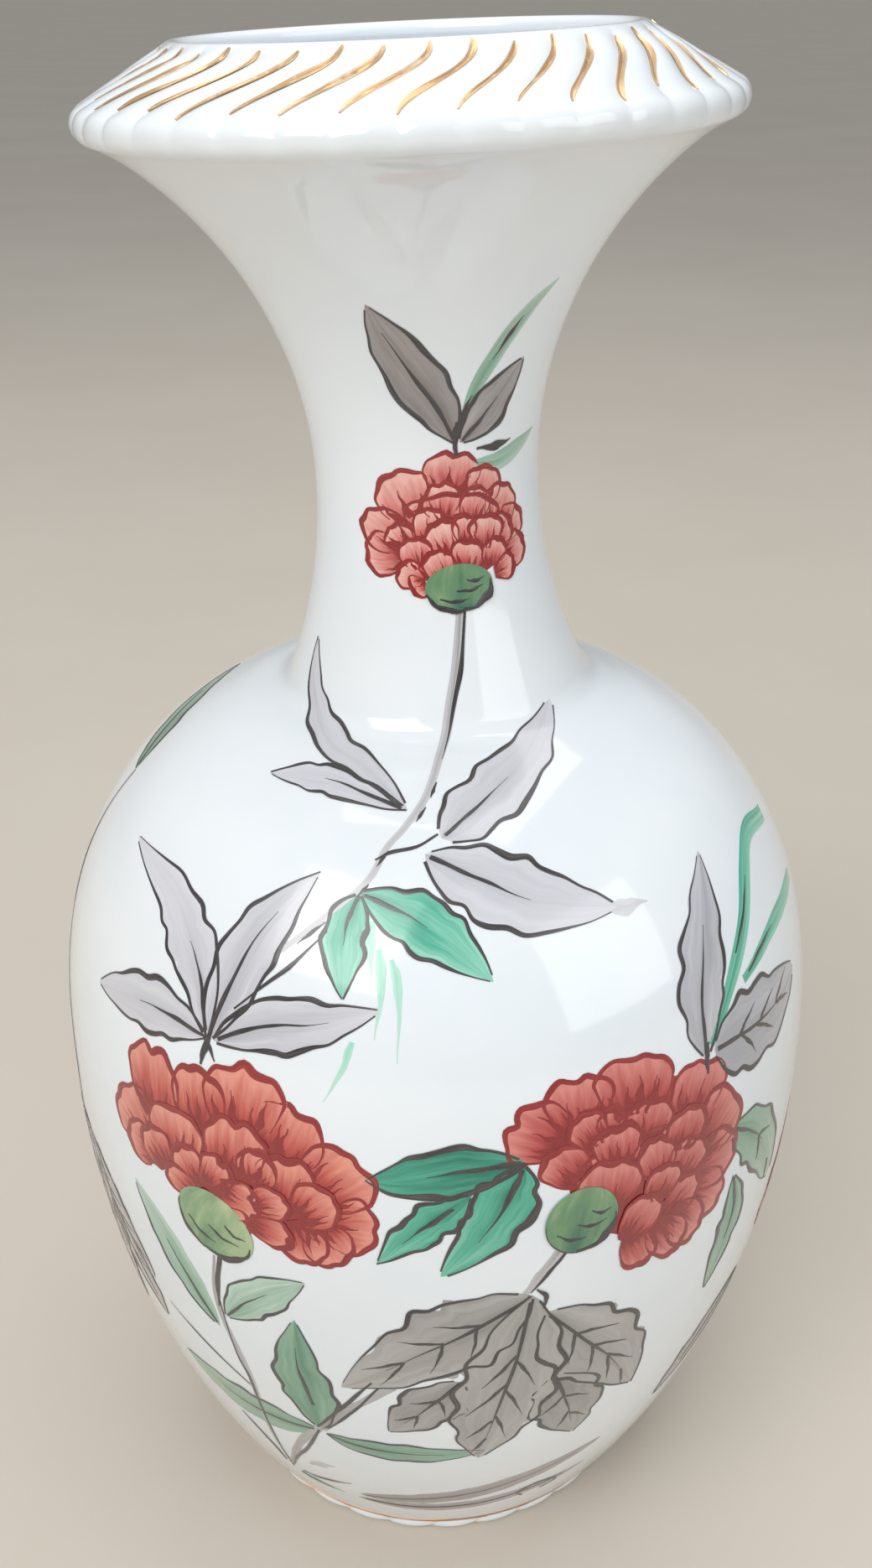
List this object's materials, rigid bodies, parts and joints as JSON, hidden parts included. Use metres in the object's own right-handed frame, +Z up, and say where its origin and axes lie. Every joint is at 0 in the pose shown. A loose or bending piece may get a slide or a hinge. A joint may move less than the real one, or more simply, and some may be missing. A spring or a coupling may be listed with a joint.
{
  "type": "porcelain vase",
  "caption": "Baluster porcelain vase with a leaning trumpet neck, inward-sloping gadrooned mouth with gilt grooves, gilt foot and painted red blooms with grey and green leaves.",
  "frame": {"origin": "centre of the foot ring on the surface the vase stands on", "axes": "+Z up through the middle of the belly; -Y is the painted front; the neck leans a little towards -X"},
  "size_m": [0.204, 0.2044, 0.402],
  "materials": {
    "glazed_porcelain": "clear gloss glaze over white porcelain, slightly bluish",
    "burnished_gold": "brushed-on fired gilding, worn in places",
    "red_enamel": "glossy overglaze enamel, iron red over a salmon wash, darker outlines",
    "calyx_enamel": "glossy overglaze enamel, leaf green with dark strokes",
    "grey_enamel": "glossy overglaze enamel, warm grey wash from thin to dense",
    "sage_enamel": "glossy overglaze enamel, sage green wash",
    "teal_enamel": "glossy overglaze enamel, bright teal wash with thin runs",
    "line_enamel": "glossy dark grey brush line"
  },
  "bodies": {
    "root": {"foot_ring": "glazed_porcelain", "body": "glazed_porcelain", "neck": "glazed_porcelain", "mouth_collar": "glazed_porcelain", "rim_gilding": "burnished_gold", "foot_gilding": "burnished_gold", "bloom_enamel": "red_enamel", "calyx_enamel": "calyx_enamel", "grey_leaf_enamel": "grey_enamel", "green_leaf_enamel": "sage_enamel", "teal_leaf_enamel": "teal_enamel", "stem_enamel": "line_enamel"}
  },
  "joints": []
}
